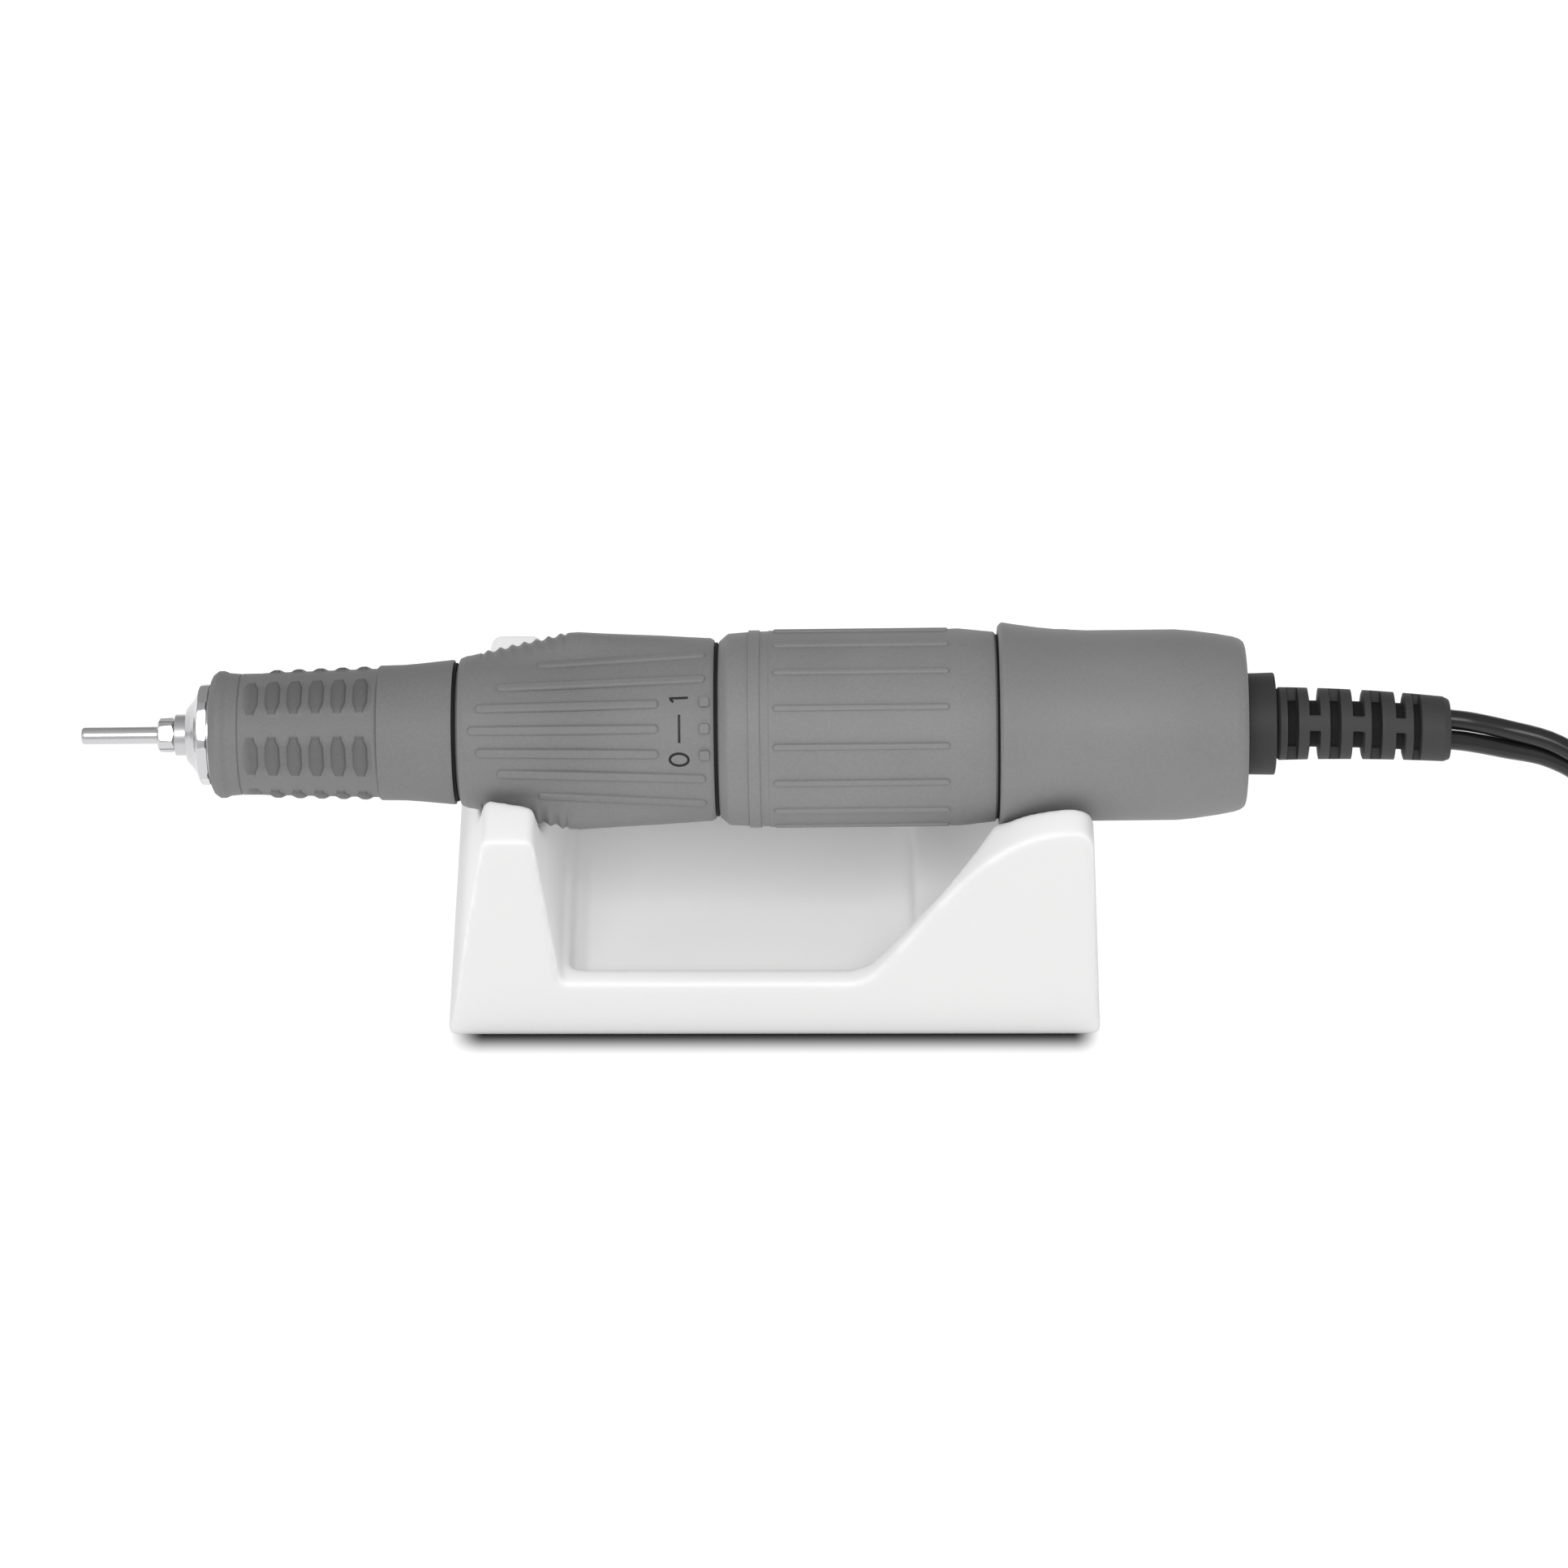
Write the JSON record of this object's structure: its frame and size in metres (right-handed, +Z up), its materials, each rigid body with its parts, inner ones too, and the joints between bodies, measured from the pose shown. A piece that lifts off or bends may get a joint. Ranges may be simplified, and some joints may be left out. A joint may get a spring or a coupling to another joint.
{
  "type": "laboratory micromotor handpiece on cradle",
  "caption": "Straight laboratory micromotor handpiece lying on a moulded cradle, with turning chuck release ring, strain-relief boot and cord with plug.",
  "frame": {"origin": "on the table under the middle of the handpiece and cradle, free cord left out", "axes": "+X from the nose to the cord along the handpiece, +Z up, -Y to the side whose marks face the viewer"},
  "size_m": [0.3366, 0.053, 0.0525],
  "materials": {
    "grip_plastic": "satin dark grey moulded plastic",
    "ring_plastic": "satin dark grey moulded plastic",
    "housing_plastic": "satin dark grey moulded plastic",
    "rear_plastic": "satin mid grey moulded plastic",
    "boot_rubber": "matt moulded rubber",
    "cord_vinyl": "glossy black vinyl",
    "cradle_plastic": "satin white moulded plastic",
    "polished_steel": "polished",
    "turned_steel": "fine turned",
    "anodised_aluminium": "anodised",
    "brass": "plain",
    "copper": "lacquered copper",
    "magnet_ferrite": "sintered",
    "carbon": "pressed carbon",
    "moulded_nylon": "moulded",
    "wire_red": "vinyl",
    "tie_fabric": "woven hook and loop strap",
    "plug_plastic": "moulded"
  },
  "bodies": {
    "cradle": {"cradle": "cradle_plastic", "cord_lead": "cord_vinyl", "cord_hank": "cord_vinyl", "cord_tie": "tie_fabric", "plug_boot": "boot_rubber", "plug_body": "plug_plastic", "plug_shell": "polished_steel", "plug_insert": "moulded_nylon"},
    "release_ring": {"release_ring": "ring_plastic", "cam_pin": "turned_steel"},
    "cam": {"cam_slider": "turned_steel"},
    "rotor": {"rotor_shaft": "polished_steel", "motor_dog": "turned_steel", "armature_core": "turned_steel", "front_winding": "copper", "rear_winding": "copper", "commutator": "copper", "motor_front_bearing_inner_race": "polished_steel", "motor_rear_bearing_inner_race": "polished_steel"},
    "spindle": {"spindle": "turned_steel", "drive_fork": "turned_steel", "chuck_spring": "turned_steel", "front_bearing_inner_race": "polished_steel", "rear_bearing_inner_race": "polished_steel"},
    "chuck": {"collet": "polished_steel", "draw_bar": "turned_steel", "cross_pin": "turned_steel"},
    "blank": {"mandrel_blank": "polished_steel"},
    "front_balls": {"front_bearing_balls": "polished_steel"},
    "rear_balls": {"rear_bearing_balls": "polished_steel"},
    "motor_front_balls": {"motor_front_bearing_balls": "polished_steel"},
    "motor_rear_balls": {"motor_rear_bearing_balls": "polished_steel"},
    "handpiece": {"nose_cap": "polished_steel", "dust_seal": "boot_rubber", "front_sleeve": "grip_plastic", "inner_case": "anodised_aluminium", "bearing_spacer": "anodised_aluminium", "motor_housing": "housing_plastic", "motor_end_plate": "anodised_aluminium", "field_yoke": "turned_steel", "magnet_upper": "magnet_ferrite", "magnet_lower": "magnet_ferrite", "brush_holder": "moulded_nylon", "brush_left": "carbon", "brush_right": "carbon", "brush_spring_left": "turned_steel", "brush_spring_right": "turned_steel", "brush_cap_left": "brass", "brush_cap_right": "brass", "lead_wire_red": "wire_red", "lead_wire_black": "cord_vinyl", "cord_tail": "cord_vinyl", "crimp_ring": "brass", "rear_cap": "rear_plastic", "cord_collar": "grip_plastic", "strain_relief_boot": "boot_rubber", "front_bearing_outer_race": "polished_steel", "rear_bearing_outer_race": "polished_steel", "motor_front_bearing_outer_race": "polished_steel", "motor_rear_bearing_outer_race": "polished_steel"}
  },
  "joints": [
    {"name": "handpiece_lift", "type": "slide", "parent": "cradle", "child": "handpiece", "axis": [0, 0, 1], "range_m": [0, 0.05]},
    {"name": "ring_turn", "type": "hinge", "parent": "handpiece", "child": "release_ring", "pos_m": [-0.01777, 0, 0.03777], "axis": [0.9999, 0, 0.0131], "range_deg": [0, 33]},
    {"name": "cam_slide", "type": "slide", "parent": "handpiece", "child": "cam", "axis": [-0.9999, 0, -0.0131], "range_m": [0, 0.0007]},
    {"name": "rotor_spin", "type": "hinge", "parent": "handpiece", "child": "rotor", "pos_m": [-0.01777, 0, 0.03777], "axis": [0.9999, 0, 0.0131], "continuous": true},
    {"name": "spindle_spin", "type": "hinge", "parent": "handpiece", "child": "spindle", "pos_m": [-0.01777, 0, 0.03777], "axis": [0.9999, 0, 0.0131], "continuous": true},
    {"name": "collet_slide", "type": "slide", "parent": "spindle", "child": "chuck", "axis": [-0.9999, 0, -0.0131], "range_m": [0, 0.0007]},
    {"name": "rod_slide", "type": "slide", "parent": "chuck", "child": "blank", "axis": [-0.9999, 0, -0.0131], "range_m": [0, 0.036]},
    {"name": "front_cage_spin", "type": "hinge", "parent": "handpiece", "child": "front_balls", "pos_m": [-0.01777, 0, 0.03777], "axis": [0.9999, 0, 0.0131], "continuous": true},
    {"name": "rear_cage_spin", "type": "hinge", "parent": "handpiece", "child": "rear_balls", "pos_m": [-0.01777, 0, 0.03777], "axis": [0.9999, 0, 0.0131], "continuous": true},
    {"name": "motor_front_cage_spin", "type": "hinge", "parent": "handpiece", "child": "motor_front_balls", "pos_m": [-0.01777, 0, 0.03777], "axis": [0.9999, 0, 0.0131], "continuous": true},
    {"name": "motor_rear_cage_spin", "type": "hinge", "parent": "handpiece", "child": "motor_rear_balls", "pos_m": [-0.01777, 0, 0.03777], "axis": [0.9999, 0, 0.0131], "continuous": true}
  ],
  "couplings": [
    {"joint": "cam_slide", "follows": "ring_turn", "m_per_rad": 0.001215},
    {"joint": "collet_slide", "follows": "ring_turn", "m_per_rad": 0.001215},
    {"joint": "spindle_spin", "follows": "rotor_spin", "ratio": 1},
    {"joint": "front_cage_spin", "follows": "rotor_spin", "ratio": 0.4334},
    {"joint": "rear_cage_spin", "follows": "rotor_spin", "ratio": 0.4334},
    {"joint": "motor_front_cage_spin", "follows": "rotor_spin", "ratio": 0.409},
    {"joint": "motor_rear_cage_spin", "follows": "rotor_spin", "ratio": 0.409}
  ]
}
